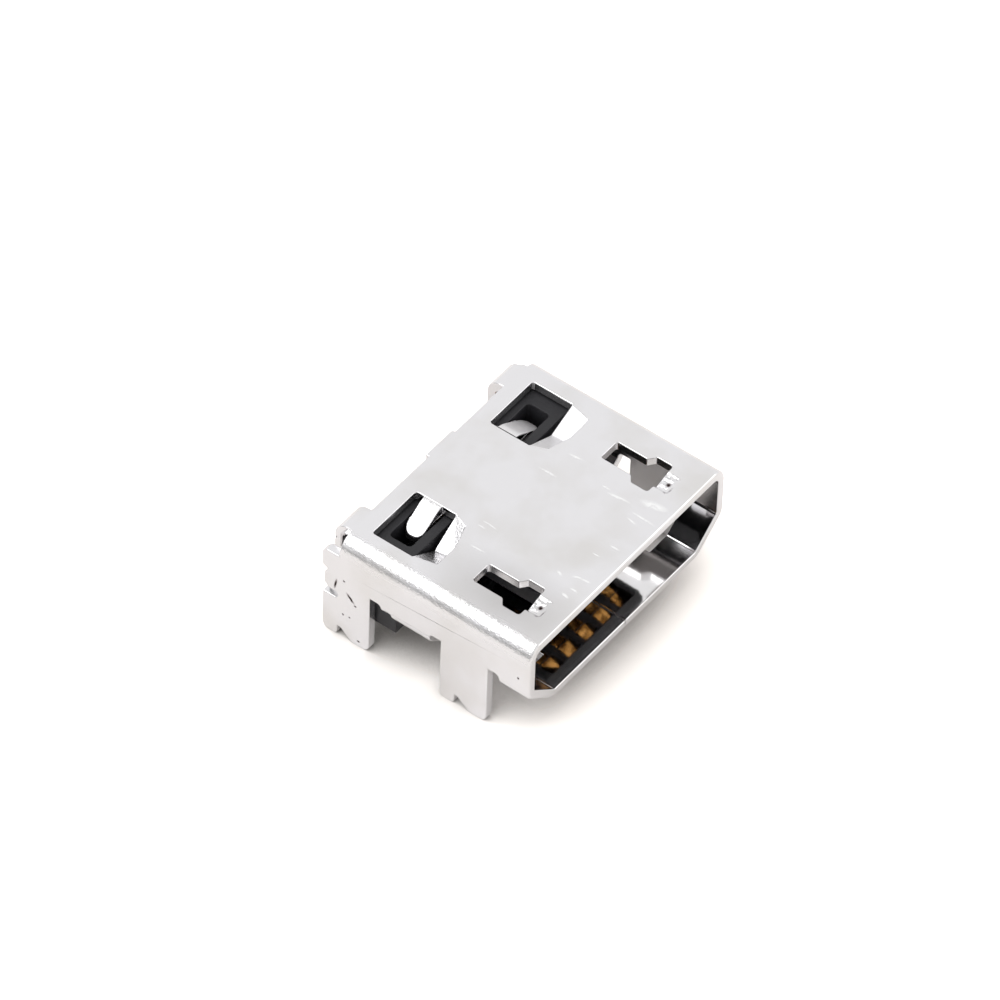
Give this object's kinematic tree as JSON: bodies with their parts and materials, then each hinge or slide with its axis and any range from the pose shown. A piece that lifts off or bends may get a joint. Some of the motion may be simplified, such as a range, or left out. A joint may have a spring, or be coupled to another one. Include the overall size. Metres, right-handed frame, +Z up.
{
  "type": "charging port",
  "caption": "Low charging socket: folded steel shell with latch windows, locking fingers and through-board legs round a black insulator, tongue and flat gold contacts.",
  "frame": {"origin": "middle of the port in plan, at the level of the leg tips", "axes": "+X across the opening, to the right seen into it; +Y into the port, from the opening to the tails; +Z up, away from the board"},
  "size_m": [0.0074, 0.006, 0.0032],
  "materials": {
    "shell_steel": "tin-plated stainless sheet, satin with bright bends and sheared edges",
    "insulator_plastic": "black moulded nylon, slightly grained",
    "contact_gold": "thin gold plating, smooth"
  },
  "bodies": {
    "root": {"shell": "shell_steel", "insulator": "insulator_plastic", "contact_1": "contact_gold", "contact_2": "contact_gold", "contact_3": "contact_gold", "contact_4": "contact_gold", "contact_5": "contact_gold"}
  },
  "joints": []
}
